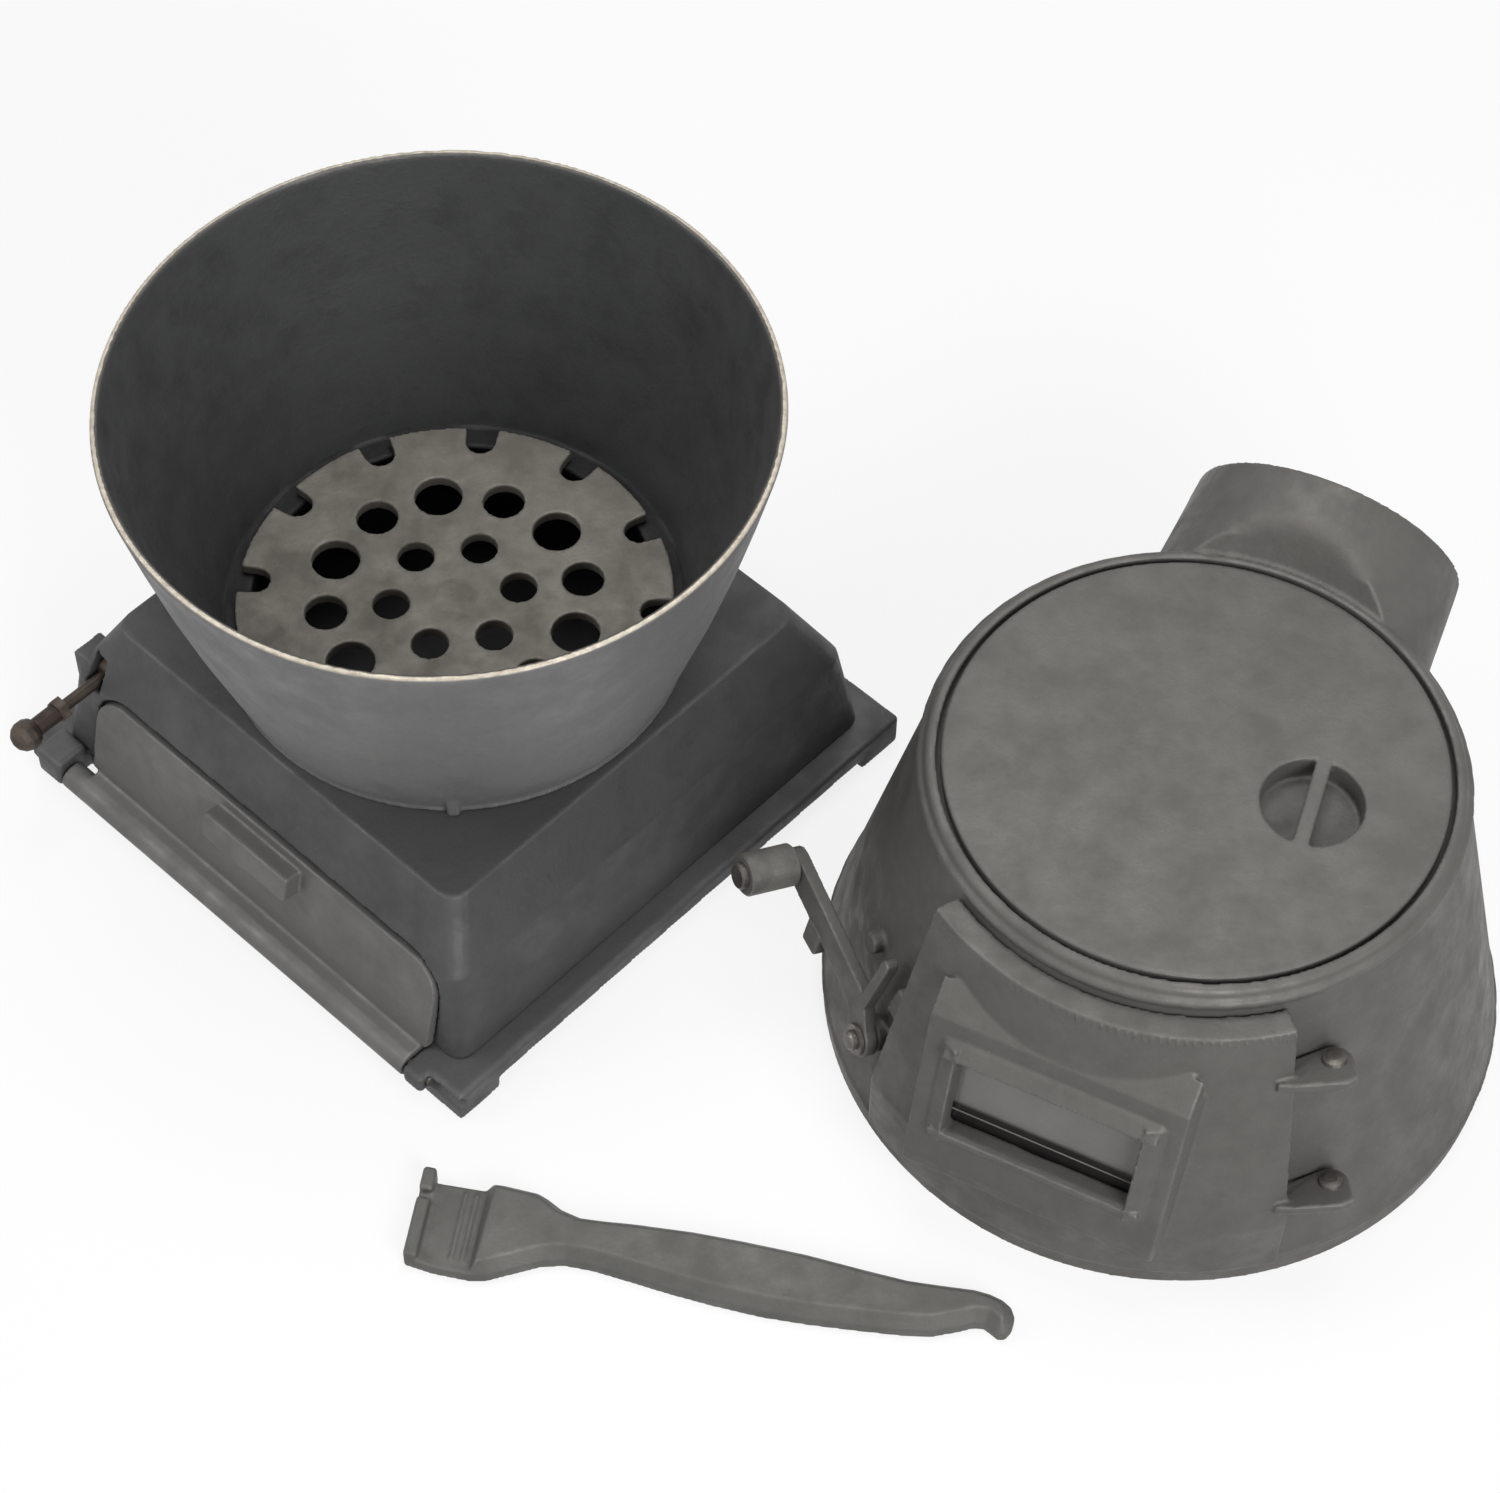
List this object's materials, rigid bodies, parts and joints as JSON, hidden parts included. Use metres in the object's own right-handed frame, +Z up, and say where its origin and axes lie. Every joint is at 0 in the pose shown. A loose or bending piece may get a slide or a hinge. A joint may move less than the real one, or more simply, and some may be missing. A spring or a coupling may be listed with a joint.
{
  "type": "tent stove",
  "caption": "Cast tent stove packed apart: square base with ash box and round fire pot, conical hood with lid, windowed fire door and pipe collar, and a lifting handle.",
  "frame": {"origin": "centre of the whole set on the floor", "axes": "+Z up; +X from the base towards the hood; -Y towards the lifting handle and the fire door's side"},
  "size_m": [0.7019, 0.5273, 0.2593],
  "materials": {
    "cast_iron": "rough cast, dull dark grey",
    "worn_iron": "rough cast, burnt brown-grey",
    "hood_iron": "fine cast, satin mid grey",
    "fasteners": "blackened steel, worn",
    "window": "heat-resistant pane, smoked"
  },
  "bodies": {
    "base": {"base_plate": "cast_iron", "ash_box": "cast_iron", "fixing_bolt_1": "fasteners", "fixing_bolt_2": "fasteners", "fixing_bolt_3": "fasteners", "fixing_bolt_4": "fasteners", "ash_hinge_pin_left": "fasteners", "ash_hinge_pin_right": "fasteners", "ash_latch_pin": "fasteners"},
    "ash_door": {"ash_door": "cast_iron"},
    "ash_clamp": {"ash_latch_bolt": "fasteners"},
    "ash_knob": {"ash_latch_nut": "fasteners"},
    "fire_pot": {"fire_pot": "cast_iron"},
    "grate": {"grate": "worn_iron"},
    "hood": {"hood": "hood_iron", "door_hinge_pin_upper": "fasteners", "door_hinge_pin_lower": "fasteners", "latch_washer": "fasteners", "latch_pivot_bolt": "fasteners"},
    "lid": {"lid": "hood_iron"},
    "fire_door": {"fire_door": "hood_iron", "window_pane": "window", "pane_frame": "cast_iron", "pane_screw_upper": "fasteners", "pane_screw_lower": "fasteners"},
    "latch_lever": {"latch_lever": "hood_iron", "crank_rod": "fasteners"},
    "crank_grip": {"crank_grip": "hood_iron"},
    "lifting_handle": {"lifting_handle": "hood_iron"}
  },
  "joints": [
    {"name": "ash_door_hinge", "type": "hinge", "parent": "base", "child": "ash_door", "pos_m": [-0.23996, -0.05828, 0.0135], "axis": [0.7408, -0.6717, 0], "range_deg": [0, 90]},
    {"name": "ash_clamp_swing", "type": "hinge", "parent": "base", "child": "ash_clamp", "pos_m": [-0.30389, 0.04316, 0.0703], "axis": [-0.7408, 0.6717, 0], "range_deg": [0, 45]},
    {"name": "ash_knob_turn", "type": "hinge", "parent": "ash_clamp", "child": "ash_knob", "pos_m": [-0.30389, 0.04316, 0.0703], "axis": [-0.6717, -0.7408, 0], "continuous": true},
    {"name": "fire_pot_lift", "type": "slide", "parent": "base", "child": "fire_pot", "axis": [0, 0, 1], "range_m": [0, 0.25]},
    {"name": "grate_lift", "type": "slide", "parent": "fire_pot", "child": "grate", "axis": [0, 0, 1], "range_m": [0, 0.16]},
    {"name": "hood_lift", "type": "slide", "parent": "base", "child": "hood", "axis": [0, 0, 1], "range_m": [0, 0.3]},
    {"name": "lid_lift", "type": "slide", "parent": "hood", "child": "lid", "axis": [0, 0, 1], "range_m": [0, 0.15]},
    {"name": "fire_door_hinge", "type": "hinge", "parent": "hood", "child": "fire_door", "pos_m": [0.25834, -0.21866, 0.05917], "axis": [-0.0945, 0.2074, 0.9737], "range_deg": [0, 115]},
    {"name": "latch_turn", "type": "hinge", "parent": "hood", "child": "latch_lever", "pos_m": [0.06132, -0.14094, 0.056], "axis": [-0.8756, -0.4259, 0.228], "range_deg": [-4, 40]},
    {"name": "grip_turn", "type": "hinge", "parent": "latch_lever", "child": "crank_grip", "pos_m": [0.03078, -0.06439, 0.0817], "axis": [-0.8756, -0.4259, 0.228], "continuous": true},
    {"name": "handle_lift", "type": "slide", "parent": "base", "child": "lifting_handle", "axis": [0, 0, 1], "range_m": [0, 0.3]}
  ]
}
